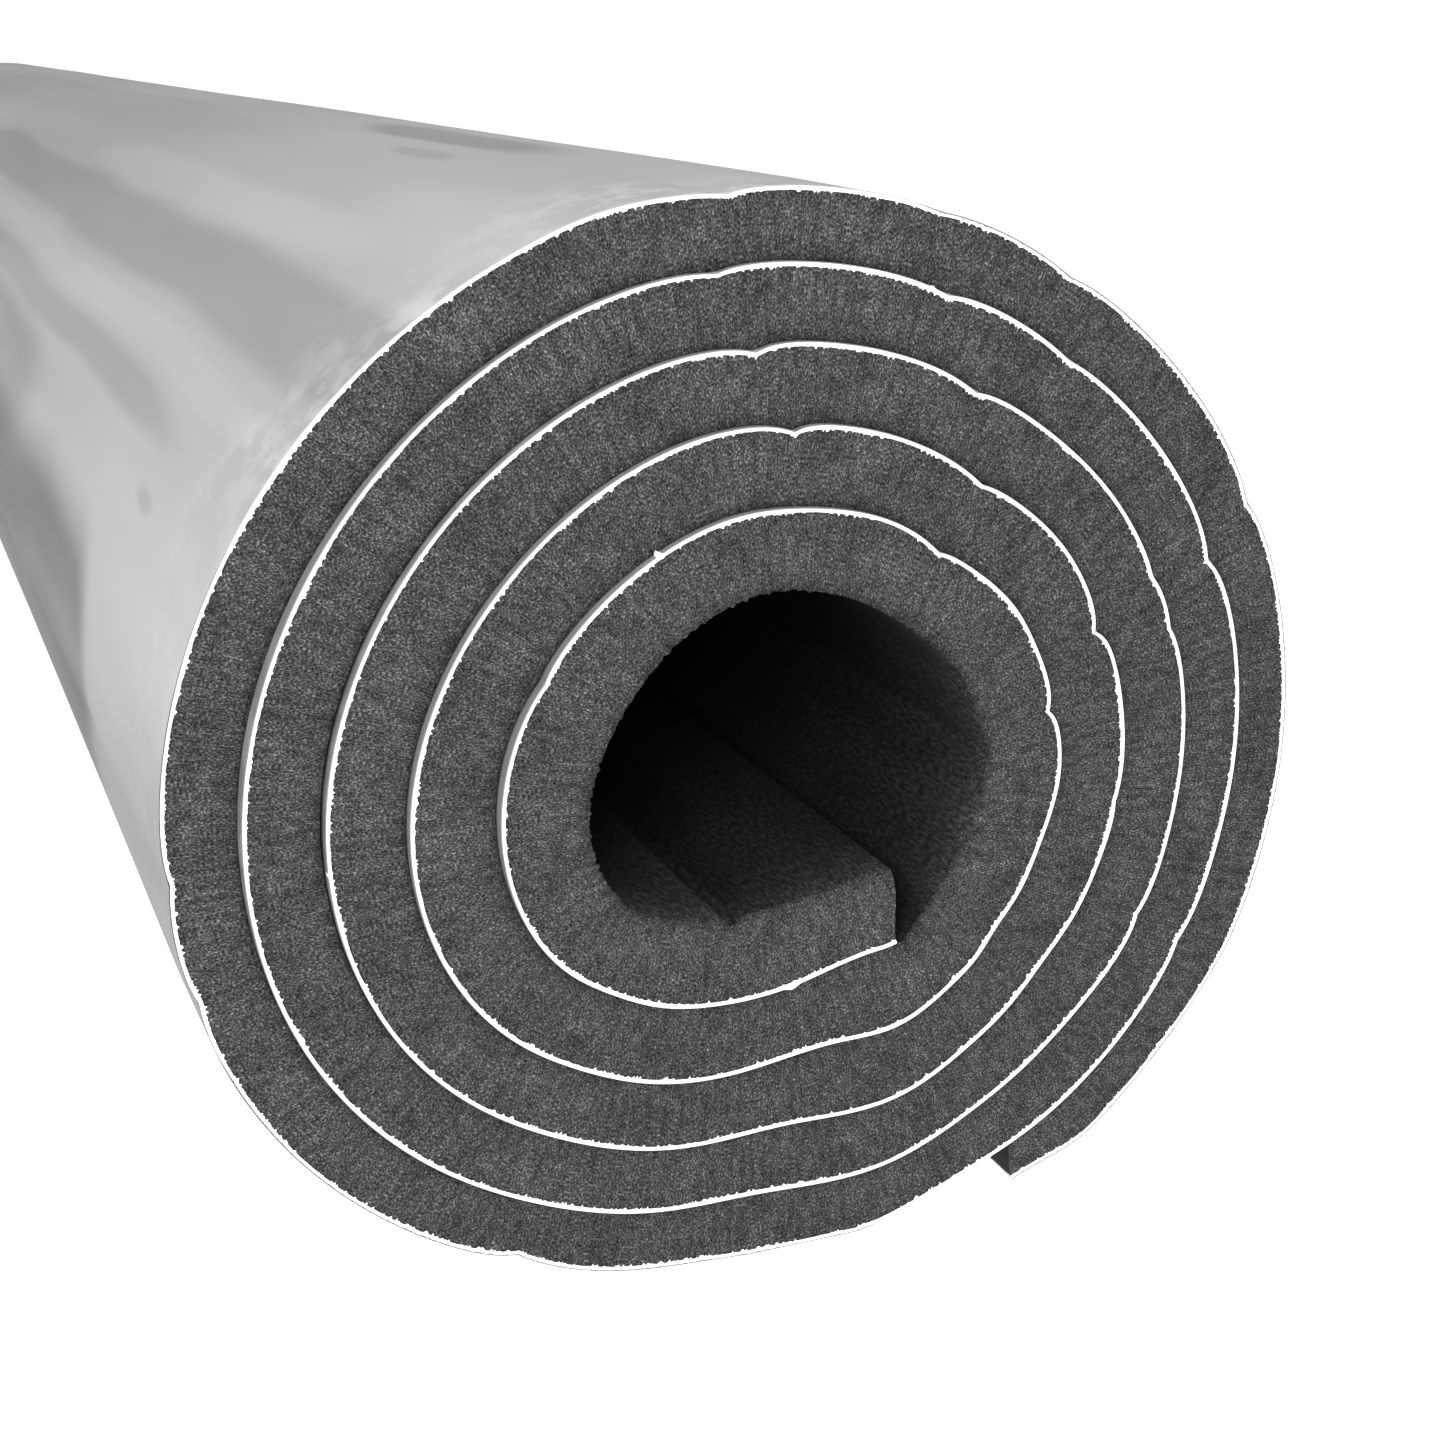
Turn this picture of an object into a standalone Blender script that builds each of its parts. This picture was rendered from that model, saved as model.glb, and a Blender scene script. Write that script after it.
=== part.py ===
"""A roll of foam insulation sheet, faced with a thin film on its outer side, lying on its side.

One long flat sheet is wound just short of five turns round an open core. The roll has sagged a little, so it
is wider than it is high, and its core has gone off round. Its axis runs along Y, the end with
the cut starts of the turns faces -Y, and the origin is under its middle, on the floor.
"""

import math

import bmesh
import bpy

MM = 0.001

# The stock: a sheet of this width, and of a nominal 10 mm foam
SHEET_WIDTH = 1200 * MM
TURNS = 4.993
FILM_THICKNESS = 0.4 * MM
BOND_GAP = 0.3 * MM
TURN_GAP = 0.3 * MM

# The winding, from the cut inner end outwards: each turn lies a little tighter than the last
START_ANGLE = math.radians(-65)
CORE_RADIUS = 34.1 * MM
FIRST_SPACING = 12.47 * MM
SPACING_LOSS = 0.293 * MM

# How the soft roll has gone off round: lobes, their height at the core and outside, and direction
LOBES = (
    (2, 2.2 * MM, 2.4 * MM, math.radians(2)),
    (3, 1.1 * MM, 0.8 * MM, math.radians(-26)),
    (4, 0.3 * MM, 0.3 * MM, math.radians(33)),
    (5, 0.45 * MM, 0.1 * MM, math.radians(23)),
)

# The two ends of the sheet
INNER_TAIL = 0.08
INNER_TAIL_LIFT = 1.0 * MM
INNER_CUT_SLANT = 4.0 * MM
OUTER_TAIL = 0.03
OUTER_TAIL_PINCH = 0.25
OUTER_CUT_SLANT = 3.0 * MM

# Each turn has slid a little along the axis from the next
SLIP_PER_TURN = 1.0 * MM

# How far the foam under the roll gives way on the floor
FLOOR_PRESS = 0.6 * MM

STEPS_PER_TURN = 80
ANGLE_STEP = 1e-4


def ease(share):
    """A smooth rise from 0 to 1 as share goes from 0 to 1."""
    share = min(max(share, 0.0), 1.0)
    return share * share * (3 - 2 * share)


def reach(turn):
    """The distance from the roll's middle to the tangent of the foam's outer side, after this many turns."""
    angle = START_ANGLE - math.tau * turn
    distance = CORE_RADIUS + FIRST_SPACING * turn - SPACING_LOSS * turn * turn
    outward = turn / TURNS
    for count, core_height, outer_height, direction in LOBES:
        height = core_height + (outer_height - core_height) * outward
        distance += height * math.cos(count * (angle - direction))
    return distance


def foam_thickness(turn):
    """What is left of a turn's spacing for the foam, once the film and the two gaps are taken off."""
    spacing = reach(turn) - reach(turn - 1)
    return spacing - BOND_GAP - FILM_THICKNESS - TURN_GAP


def section_point(turn, depth):
    """(x, z) of the point at this depth outside the foam's outer side, about the roll's middle."""
    angle = START_ANGLE - math.tau * turn
    slope = (reach(turn - ANGLE_STEP) - reach(turn + ANGLE_STEP)) / (2 * ANGLE_STEP * math.tau)
    distance = reach(turn) + depth
    distance -= INNER_TAIL_LIFT * ease(1 - turn / INNER_TAIL)
    return (
        distance * math.cos(angle) - slope * math.sin(angle),
        distance * math.sin(angle) + slope * math.cos(angle),
    )


def outer_pinch(turn):
    """How far the foam's outer side comes in towards the sheet's outer end, where the foam thins."""
    return OUTER_TAIL_PINCH * foam_thickness(turn) * ease(1 - (TURNS - turn) / OUTER_TAIL)


def foam_outer(turn):
    return -outer_pinch(turn)


def foam_inner(turn):
    return -foam_thickness(turn)


def film_inner(turn):
    return BOND_GAP - outer_pinch(turn)


def film_outer(turn):
    return BOND_GAP + FILM_THICKNESS - outer_pinch(turn)


def outline(depth_at):
    """The section's points on the last turn, at the depth that depth_at gives for each turn."""
    first = round((TURNS - 1) * STEPS_PER_TURN)
    last = round(TURNS * STEPS_PER_TURN)
    turns = [step / STEPS_PER_TURN for step in range(first, last + 1)]
    return [section_point(turn, depth_at(turn)) for turn in turns]


LAST_TURN = outline(film_outer)
MIDDLE_X = (min(x for x, z in LAST_TURN) + max(x for x, z in LAST_TURN)) / 2
FLOOR_Z = min(z for x, z in LAST_TURN) + FLOOR_PRESS


def rolled(along, across, depth, height_off_floor, slant):
    """Takes a place on the flat sheet to its place on the roll.

    along runs from 0 to 1 over the sheet's length, and across from -0.5 to 0.5 over its width.
    slant moves the place along the sheet, in metres.
    """
    turn = along * TURNS
    turn += slant / (math.tau * reach(turn))
    x, z = section_point(turn, depth)
    slip = SLIP_PER_TURN * (turn - TURNS / 2)
    return x - MIDDLE_X, across * SHEET_WIDTH + slip, max(z - FLOOR_Z, height_off_floor)


def end_slant(along, depth):
    """How far a cut end leans, at this depth: the cuts aren't square to the sheet."""
    if along < 0.5 / (STEPS_PER_TURN * TURNS):
        return INNER_CUT_SLANT * depth / foam_thickness(0)
    if along > 1 - 0.5 / (STEPS_PER_TURN * TURNS):
        return OUTER_CUT_SLANT * depth / foam_thickness(TURNS)
    return 0.0


def flat_sheet(name):
    """A unit box, cut into short lengths along X so that it can be rolled up."""
    bpy.ops.mesh.primitive_cube_add(size=1)
    sheet = bpy.context.object
    sheet.name = name
    sheet.data.name = name
    mesh = bmesh.new()
    mesh.from_mesh(sheet.data)
    lengthwise = [edge for edge in mesh.edges if edge.verts[0].co.x != edge.verts[1].co.x]
    bmesh.ops.subdivide_edges(mesh, edges=lengthwise, cuts=round(STEPS_PER_TURN * TURNS) - 1)
    mesh.to_mesh(sheet.data)
    mesh.free()
    return sheet


def wound(name, inner_depth, outer_depth, inner_height, outer_height, material):
    """A flat sheet rolled up, between two depths that follow the winding."""
    sheet = flat_sheet(name)
    for vertex in sheet.data.vertices:
        along = vertex.co.x + 0.5
        turn = along * TURNS
        outside = vertex.co.z > 0
        depth = outer_depth(turn) if outside else inner_depth(turn)
        height = outer_height if outside else inner_height
        vertex.co = rolled(along, vertex.co.y, depth, height, end_slant(along, depth))
    sheet.data.shade_smooth()
    sheet.data.set_sharp_from_angle(angle=math.radians(30))
    sheet.data.materials.append(material)
    return sheet


def principled(name, colour, roughness, metallic):
    material = bpy.data.materials.new(name)
    material.use_nodes = True
    shader = material.node_tree.nodes["Principled BSDF"]
    shader.inputs["Base Color"].default_value = (*colour, 1)
    shader.inputs["Roughness"].default_value = roughness
    shader.inputs["Metallic"].default_value = metallic
    return material


def clear_scene():
    for old in list(bpy.data.objects):
        bpy.data.objects.remove(old)


def main():
    clear_scene()
    foam = principled("closed_cell_foam", (0.052, 0.053, 0.056), 0.95, 0.0)
    film = principled("metallised_film", (0.56, 0.57, 0.58), 0.38, 0.6)
    film_top = FILM_THICKNESS + BOND_GAP
    pieces = (
        wound("foam_sheet", foam_inner, foam_outer, film_top, film_top, foam),
        wound("facing_film", film_inner, film_outer, FILM_THICKNESS, 0.0, film),
    )
    roll = bpy.data.collections.new("insulation_roll")
    bpy.context.scene.collection.children.link(roll)
    for piece in pieces:
        for home in list(piece.users_collection):
            home.objects.unlink(piece)
        roll.objects.link(piece)


main()
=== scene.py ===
# %% [markdown]
# # A roll of faced foam insulation
#
# The real object is one long sheet of black closed-cell foam with a thin facing on one side. The
# facing is silver-grey outside and white on its cut edge, so the end of the roll shows a white
# spiral. This lesson makes the sheet flat, winds it up with a Curve modifier, and then gives each
# surface its own finish. The measured frame comes first, because every piece has to fit it.

# %% Load the measured frame
import math
import random

import bpy
import numpy as np
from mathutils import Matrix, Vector, noise


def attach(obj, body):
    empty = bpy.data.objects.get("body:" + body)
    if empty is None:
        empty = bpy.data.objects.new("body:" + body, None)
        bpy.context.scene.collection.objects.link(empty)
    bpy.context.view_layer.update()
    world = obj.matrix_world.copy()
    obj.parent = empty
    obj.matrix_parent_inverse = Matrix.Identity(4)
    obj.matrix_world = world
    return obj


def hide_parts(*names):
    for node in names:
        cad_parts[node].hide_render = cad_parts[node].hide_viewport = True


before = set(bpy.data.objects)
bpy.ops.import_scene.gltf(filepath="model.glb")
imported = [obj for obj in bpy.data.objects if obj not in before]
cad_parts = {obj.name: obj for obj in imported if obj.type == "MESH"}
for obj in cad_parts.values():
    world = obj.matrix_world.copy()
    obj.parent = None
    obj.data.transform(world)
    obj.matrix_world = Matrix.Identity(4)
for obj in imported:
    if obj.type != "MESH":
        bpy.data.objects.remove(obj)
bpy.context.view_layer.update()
bpy.ops.object.select_all(action="DESELECT")

MM = 0.001


def in_mm(box):
    return [[round(float(v) / MM, 1) for v in corner] for corner in box]


print("nodes:", sorted(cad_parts))

# %% [markdown]
# ## The winding
#
# A spiral could be drawn by hand, or turned with the Screw modifier, but this roll isn't round. It
# has sagged, and each turn lies a little tighter than the last. A formula gives all of that with a
# few numbers: how far the sheet's outer side reaches from the middle, in each direction. The
# frame was made from the same formula, so the detailed sheet lands on the measured one.

# %% The winding, as a formula
SHEET_WIDTH = 1200 * MM
TURNS = 4.993
START_ANGLE = math.radians(-65)
CORE_RADIUS = 34.1 * MM
FIRST_SPACING = 12.47 * MM
SPACING_LOSS = 0.293 * MM
LOBES = (
    (2, 2.2 * MM, 2.4 * MM, math.radians(2)),
    (3, 1.1 * MM, 0.8 * MM, math.radians(-26)),
    (4, 0.3 * MM, 0.3 * MM, math.radians(33)),
    (5, 0.45 * MM, 0.1 * MM, math.radians(23)),
)
MEASURED_FACING = 0.7 * MM
FACING_THICKNESS = 0.55 * MM
FLOOR_PRESS = 0.6 * MM
SLIP_PER_TURN = 1.0 * MM
ANGLE_STEP = 1e-4


def ease(share):
    """A smooth rise from 0 to 1 as share goes from 0 to 1."""
    share = np.clip(share, 0.0, 1.0)
    return share * share * (3 - 2 * share)


def direction(turn):
    """The way out of the roll, as (x, z), after this many turns."""
    angle = START_ANGLE - math.tau * np.asarray(turn, float)
    return np.cos(angle), np.sin(angle)


def reach(turn):
    """How far the foam's outer side reaches from the middle, after this many turns."""
    turn = np.asarray(turn, float)
    angle = START_ANGLE - math.tau * turn
    distance = CORE_RADIUS + FIRST_SPACING * turn - SPACING_LOSS * turn**2
    for count, core, outer, towards in LOBES:
        height = core + (outer - core) * turn / TURNS
        distance = distance + height * np.cos(count * (angle - towards))
    return distance


def spiral(turn):
    """(x, z) of the foam's outer side about the middle of the winding."""
    x, z = direction(turn)
    slope = (reach(turn - ANGLE_STEP) - reach(turn + ANGLE_STEP)) / (2 * ANGLE_STEP * math.tau)
    return reach(turn) * x - slope * z, reach(turn) * z + slope * x


# The roll's middle and the floor, from how far the measured facing of the last turn reaches
last_turn = np.arange(TURNS - 1, TURNS + 1e-9, 1 / 720)
facing_x = spiral(last_turn)[0] + MEASURED_FACING * direction(last_turn)[0]
facing_z = spiral(last_turn)[1] + MEASURED_FACING * direction(last_turn)[1]
MIDDLE_X = (facing_x.min() + facing_x.max()) / 2
FLOOR_Z = facing_z.min() + FLOOR_PRESS
print("middle of the winding, mm:", round(-MIDDLE_X / MM, 2), round(-FLOOR_Z / MM, 2))

# %% [markdown]
# ## Creases
#
# Foam doesn't bend into a perfect spiral. It swells over the step that the sheet's inner end makes,
# and here and there the facing creases and the sheet turns a small corner. The eye reads these as
# softness. They could be sculpted, but a list of places is easier to check against the real roll.
# Some swells go through all turns, so they are given once with a drift from turn to turn. Others
# belong to a turn or two, and each crease to one. A crease dips slowly and steps out fast.

# %% Swells and creases
EVERY_LAP = range(-1, 6)
OVER_THE_STEP = range(1, 6)
# Laps, degrees of travel, drift per lap, height at the core and outside in millimetres, half width
SWELLS = (
    ((0,), 0, 0, 0.75, 0.75, 5),
    ((0,), 12, 0, -0.8, -0.8, 8),
    ((0,), 230, 0, 0.5, 0.5, 12),
    ((0,), 312, 0, -0.9, -0.9, 10),
    ((1,), 85, 0, 0.4, 0.4, 75),
    ((1,), 314, 0, -0.5, -0.5, 8),
    ((2,), 328, 0, 1.0, 1.0, 16),
    ((3,), 338, 0, 1.3, 1.3, 18),
    ((2, 3), 5, 0, 0.5, 0.5, 10),
    ((0,), 145, 0, 0.5, 0.5, 25),
    ((0, 1), 250, 0, 0.25, 0.25, 45),
    ((1,), 13, 0, -0.6, -0.6, 6),
    ((4,), 188, 0, 0.5, 0.5, 8),
    ((2, 3), 282, 0, 0.6, 0.6, 22),
    (OVER_THE_STEP, 2, 3, 0.9, 1.3, 9),
    (OVER_THE_STEP, 16, 3, -1.2, -0.8, 8),
    (EVERY_LAP, 37, 0, 0.8, 0.1, 10),
    (EVERY_LAP, 165, 5, -0.3, 0.0, 30),
    (EVERY_LAP, 228, 0, 0.5, 0.2, 12),
    (EVERY_LAP, 252, 0, 1.0, -0.1, 10),
    (EVERY_LAP, 297, 2, 0.6, 0.2, 12),
    (EVERY_LAP, 312, 2, 0.1, 0.6, 8),
    (EVERY_LAP, 332, 2, -1.6, -0.2, 12),
    (EVERY_LAP, 352, 0, -0.2, 0.4, 8),
)
# Degrees of travel and depth in millimetres, turn by turn
CREASES = (
    ((148, 0.5), (237, 1.0), (282, 1.3)),
    ((209, 1.3), (238, 1.0), (270, 1.9), (303, 0.5)),
    ((203, 1.3), (232, 1.2), (268, 0.8), (277, 0.8), (320, 0.8)),
    ((199, 0.9), (225, 1.0), (240, 0.7), (271, 1.6), (322, 0.8)),
    ((48, 1.4), (100, 0.8), (113, 0.9), (201, 0.9), (222, 0.5), (236, 0.9), (268, 1.2)),
)
CREASE_RUN_IN = 4.0
CREASE_RUN_OUT = 2.5
INNER_TAIL = 0.08
INNER_TAIL_LIFT = 1.0 * MM
OUTER_TAIL = 0.03
OUTER_TAIL_PINCH = 0.25
CLEARLY_DOWN = -0.3


def creased(turn):
    """How far the swells and creases move the foam's outer side out, in metres."""
    turn = np.asarray(turn, float)
    out = np.zeros_like(turn)
    for laps, degrees, drift, core, outer, half in SWELLS:
        for lap in laps:
            centre = lap + (degrees + drift * lap) / 360
            height = core + (outer - core) * min(max(centre, 0), TURNS) / TURNS
            out += height * np.exp(-(((turn - centre) * 360 / half) ** 2))
    for lap, row in enumerate(CREASES):
        for degrees, depth in row:
            past = (turn - lap) * 360 - degrees
            run = np.where(past < 0, CREASE_RUN_IN, CREASE_RUN_OUT)
            out -= depth * np.exp(-np.abs(past) / run)
    return out * MM


def spacing(turn):
    return reach(turn) - reach(np.asarray(turn, float) - 1)


def pinch(turn):
    """How far the foam's outer side comes in towards the sheet's outer end."""
    to_the_end = (TURNS - np.asarray(turn, float)) / OUTER_TAIL
    return OUTER_TAIL_PINCH * spacing(turn) * ease(1 - to_the_end)


def outer_side(turn):
    """The foam's outer side, as a distance out from the spiral.

    The floor flattens the last turn, where the way out of the roll points clearly down.
    """
    turn = np.asarray(turn, float)
    out = creased(turn) - INNER_TAIL_LIFT * ease(1 - turn / INNER_TAIL) - pinch(turn)
    height = spiral(turn)[1] - FLOOR_Z - FACING_THICKNESS
    downwards = np.minimum(direction(turn)[1], CLEARLY_DOWN)
    on_floor = (turn > TURNS - 1) & (direction(turn)[1] < CLEARLY_DOWN)
    return np.where(on_floor, np.minimum(out, -height / downwards), out)


print("creases reach, mm:", round(float(creased(np.linspace(0, 5, 3600)).min() / MM), 2))

# %% [markdown]
# ## The guide curve
#
# The Curve modifier bends a flat mesh along a curve, as a sheet is fed onto a roll. The guide is
# the spiral itself, as one poly spline with many points, so that lengths on the flat sheet are
# lengths along the real one. It lies in the XY plane, where the modifier is easiest to follow, and
# the wound sheet is then turned so that the roll's axis runs along Y.

# %% The guide curve
GUIDE_START = -0.06
GUIDE_END = TURNS + 0.04
GUIDE_POINTS = 3673

guide_turns = np.linspace(GUIDE_START, GUIDE_END, GUIDE_POINTS)
guide_x, guide_z = spiral(guide_turns)
guide_arc = np.concatenate(([0.0], np.cumsum(np.hypot(np.diff(guide_x), np.diff(guide_z)))))


def length_at(turn):
    """The length of sheet from the guide's start to this turn."""
    return np.interp(turn, guide_turns, guide_arc)


def guide_curve():
    curve = bpy.data.curves.new("winding_guide", "CURVE")
    curve.dimensions = "2D"
    curve.fill_mode = "NONE"
    spline = curve.splines.new("POLY")
    spline.points.add(len(guide_turns) - 1)
    co = np.zeros((len(guide_turns), 4))
    co[:, 0] = guide_x - MIDDLE_X
    co[:, 1] = guide_z - FLOOR_Z
    co[:, 3] = 1
    spline.points.foreach_set("co", co.ravel())
    guide = bpy.data.objects.new("winding_guide", curve)
    bpy.context.scene.collection.objects.link(guide)
    return guide


guide = guide_curve()
print("sheet length, m:", round(float(length_at(TURNS) - length_at(0)), 3))

# %% [markdown]
# ## Winding a flat piece
#
# A flat piece is made with its length along X, its thickness along Y and its width along Z, with
# its place along the length counted in turns. Counting in turns keeps the creases easy to find.
# This helper turns that into metres, lets the modifier wind the piece, and turns the result
# upright. The turns have also slid along each other a little, as they do on any roll that has
# been handled, and at the near end the cut wanders: at the left each turn stands back a bit more
# from the one inside it, so a strip of silver shows beside the white line.

# %% A helper that winds
EDGE_WANDER = (-1.2, -0.5, -0.1, 0.1, 2.1)
WANDER_TRAVEL = 128 / 360
WANDER_HALF = 28 / 360
WANDER_LENGTH = 150 * MM


def wander(turn, across):
    """How far the near end's cut stands back, turn by turn. It fades out along the roll."""
    back = np.zeros(len(turn))
    for lap, height in enumerate(EDGE_WANDER):
        back += height * MM * np.exp(-(((turn - lap - WANDER_TRAVEL) / WANDER_HALF) ** 2))
    return back * ease(1 - (SHEET_WIDTH / 2 - across) / WANDER_LENGTH)


def coordinates(piece):
    co = np.zeros(len(piece.data.vertices) * 3)
    piece.data.vertices.foreach_get("co", co)
    return co.reshape(-1, 3)


def set_coordinates(piece, co):
    piece.data.vertices.foreach_set("co", np.asarray(co, float).ravel())
    piece.data.update()


def pick(piece):
    """Makes piece the one selected and active object."""
    bpy.ops.object.select_all(action="DESELECT")
    piece.select_set(True)
    bpy.context.view_layer.objects.active = piece


def apply_modifiers(piece):
    pick(piece)
    for modifier in list(piece.modifiers):
        bpy.ops.object.modifier_apply(modifier=modifier.name)


def wind(piece):
    """Rolls a flat piece up along the guide and stands the roll's axis along Y."""
    co = coordinates(piece)
    slip = SLIP_PER_TURN * (co[:, 0] - TURNS / 2) + wander(co[:, 0], co[:, 2])
    co[:, 2] = co[:, 2] - slip
    co[:, 0] = length_at(co[:, 0])
    set_coordinates(piece, co)
    bend = piece.modifiers.new("wind", "CURVE")
    bend.object = guide
    bend.deform_axis = "POS_X"
    apply_modifiers(piece)
    pick(piece)
    bpy.ops.transform.rotate(
        value=-math.pi / 2, orient_axis="X", orient_type="GLOBAL", center_override=(0, 0, 0)
    )
    bpy.ops.object.transform_apply(location=True, rotation=True, scale=True)


# %% [markdown]
# ## The foam
#
# The foam could be a cube cut into slices, but its cut end is what the eye rests on, so the sheet
# starts as a grid that is the cut end: its length in fine steps and its thickness in a few. The
# grid is extruded across the width in edit mode, and the extrusion closes the solid. Each point
# then gets its depth: the outer side follows the creases of its own turn, and the inner side
# follows the facing of the turn under it, so the turns stay in touch.

# %% The flat foam
FOAM_STEPS = 2250
FOAM_LAYERS = 6
FOAM_WIDTH_ROWS = (0.0, 1.2 * MM, 6 * MM, 400 * MM, 800 * MM, 1194 * MM, 1198.8 * MM, 1200 * MM)
INNER_CUT_SLANT = 8.0 * MM
OUTER_CUT_SLANT = 3.0 * MM
INNER_CUT_BOW = -1.3 * MM
OUTER_CUT_BOW = 0.4 * MM
CUT_BLEND = 0.09
TOUCHING_GAP = 0.06 * MM


def select_all_mesh(action="SELECT"):
    bpy.ops.mesh.select_all(action=action)


def flat_grid(name, steps, layers, rows):
    """A closed flat sheet: x in turns, y from 0 (inner side) to 1 (outer side), z across."""
    bpy.ops.mesh.primitive_grid_add(
        x_subdivisions=steps,
        y_subdivisions=layers,
        size=1,
        location=(TURNS / 2, 0.5, -SHEET_WIDTH / 2),
    )
    piece = bpy.context.object
    piece.name = piece.data.name = name
    piece.scale = (TURNS, 1, 1)
    bpy.ops.object.transform_apply(location=True, rotation=True, scale=True)
    bpy.ops.object.mode_set(mode="EDIT")
    bpy.ops.mesh.select_mode(type="FACE")
    select_all_mesh()
    for low, high in zip(rows, rows[1:]):
        bpy.ops.mesh.extrude_region_move(TRANSFORM_OT_translate={"value": (0, 0, high - low)})
    select_all_mesh()
    bpy.ops.mesh.normals_make_consistent(inside=False)
    bpy.ops.object.mode_set(mode="OBJECT")
    return piece


foam = flat_grid("foam_roll", FOAM_STEPS, FOAM_LAYERS, FOAM_WIDTH_ROWS)
print("foam points:", len(foam.data.vertices), "faces:", len(foam.data.polygons))

# %% [markdown]
# ## Where the turns don't quite touch
#
# At the upper left the roll is a little loose, and a thin line of shade shows between one turn and
# the next. The sheet's inner end lies flat for a few centimetres, and a sharp fold line runs down
# the bore where it starts to bend. The bore itself isn't a smooth hole: it has two dull corners at
# its right, and the foam swells in below them. All of these are moves of the foam's inner side.

# %% The inner side of each turn
LOOSE_TRAVEL = 134 / 360
LOOSE_HALF = 30 / 360
LOOSE_GAP = 0.45 * MM
LOOSE_BY_TURN = (0.3, 0.7, 0.55, 1.15, 0.25)
FOLD_TURN = 0.0813
FOLD_DEPTH = 1.6 * MM
FOLD_HALF = 0.0034
# Degrees of travel round the bore, and how far its wall lies further out there, in millimetres
BORE_SHAPE = (
    (0, 1.35), (2.5, 1.0), (5, 0.6), (8, 0.0), (11, -0.6), (14, -1.05), (17, -1.4), (21, -1.3),
    (25, -0.9), (29, -0.2), (33, 0.1), (50, 0.3), (62, 0.3), (74, -0.2), (90, 0.0), (150, 0.0),
    (168, 0.4), (190, 0.3), (206, 0.7), (228, 1.3), (242, 1.0), (256, 0.9), (264, 0.2), (280, 0.0),
    (288, 0.7), (294, -0.2), (302, -0.5), (312, -1.6), (322, -1.9), (330, -2.1), (339, -1.9),
    (349, -1.25), (354, -0.3), (358, 0.6), (360, -0.2),
)
RIM_ROUGHNESS = 0.26 * MM
RIM_GRAIN = 1.1 * MM
RIM_DEPTH = 4 * MM


def looseness(turn):
    """The air left between this turn's foam and the facing under it."""
    turn = np.asarray(turn, float)
    out = np.full_like(turn, TOUCHING_GAP)
    for lap, share in enumerate(LOOSE_BY_TURN):
        out += share * LOOSE_GAP * np.exp(-(((turn - lap - LOOSE_TRAVEL) / LOOSE_HALF) ** 2))
    return np.where(turn < 1, 0.0, out)


def inner_side(turn):
    """The foam's inner side, as a distance out from the spiral."""
    turn = np.asarray(turn, float)
    travel, out = zip(*BORE_SHAPE)
    bore = np.interp(turn * 360, travel, out) * MM
    under = np.where(turn < 1, bore, outer_side(np.maximum(turn - 1, 0)))
    fold = FOLD_DEPTH * np.maximum(0, 1 - np.abs(turn - FOLD_TURN) / FOLD_HALF)
    return under - spacing(turn) + FACING_THICKNESS + looseness(turn) + fold


def rim_roughness(turn, across):
    """The knife left the bore's rim a little ragged, at both ends."""
    from_end = SHEET_WIDTH / 2 - np.abs(across)
    out = np.zeros(len(turn))
    for index in np.flatnonzero((turn < 1) & (from_end < RIM_DEPTH)):
        spot = Vector((float(length_at(turn[index])) / RIM_GRAIN, across[index] / MM, 0))
        out[index] = noise.noise(spot) * (1 - from_end[index] / RIM_DEPTH)
    return out * RIM_ROUGHNESS * 2


def length_per_turn(turn):
    return math.tau * float(reach(turn))


def shape_foam(piece):
    """Gives each point its depth, and leans and bows the two short cuts."""
    co = coordinates(piece)
    turn, share = co[:, 0], co[:, 1]
    inner, outer = inner_side(turn) + rim_roughness(turn, co[:, 2]), outer_side(turn)
    depth = inner + (outer - inner) * share
    bow = 4 * share * (1 - share)
    at_start = ease(1 - turn / CUT_BLEND) / length_per_turn(0)
    at_end = ease(1 - (TURNS - turn) / CUT_BLEND) / length_per_turn(TURNS)
    lean = -(INNER_CUT_SLANT * (1 - share) + INNER_CUT_BOW * bow) * at_start
    lean += (-OUTER_CUT_SLANT * (1 - share) + OUTER_CUT_BOW * bow) * at_end
    co[:, 0] = turn + lean
    co[:, 1] = depth
    set_coordinates(piece, co)


flat_lengths = coordinates(foam)[:, 0].copy()
flat_shares = coordinates(foam)[:, 1].copy()
shape_foam(foam)
print("foam depth, mm:", (coordinates(foam)[:, 1].min() / MM).round(1))

# %% [markdown]
# ## Marks for the finish
#
# Grain and streaks have to follow the sheet round the roll, so the piece carries its own UV map in
# metres, taken while it is still flat: length and depth on the cut ends, length and width on the
# long sides. An attribute keeps how deep in the sheet a point lies, to paint shade on the foam next
# to its two sides.

# %% UV map and layer attribute
# A face whose normal points along the roll by more than this is part of a cut end
POINTS_ALONG = 0.5


def mark_layers(piece, shares):
    layer = piece.data.attributes.new("layer", "FLOAT", "POINT")
    layer.data.foreach_set("value", np.asarray(shares, np.float32))


def map_sheet(piece):
    """A UV map in metres: cut ends get length and depth, long sides get length and width."""
    co = coordinates(piece)
    mesh = piece.data
    corners = np.zeros(len(mesh.loops), int)
    mesh.loops.foreach_get("vertex_index", corners)
    normals = np.zeros(len(mesh.polygons) * 3)
    mesh.polygons.foreach_get("normal", normals)
    totals = np.zeros(len(mesh.polygons), int)
    mesh.polygons.foreach_get("loop_total", totals)
    is_end = np.repeat(np.abs(normals.reshape(-1, 3)[:, 2]) > POINTS_ALONG, totals)
    uv = np.zeros((len(corners), 2))
    uv[:, 0] = length_at(co[corners, 0])
    uv[:, 1] = np.where(is_end, co[corners, 1], co[corners, 2])
    layer = mesh.uv_layers.new(name="sheet")
    layer.data.foreach_set("uv", uv.ravel())


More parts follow.
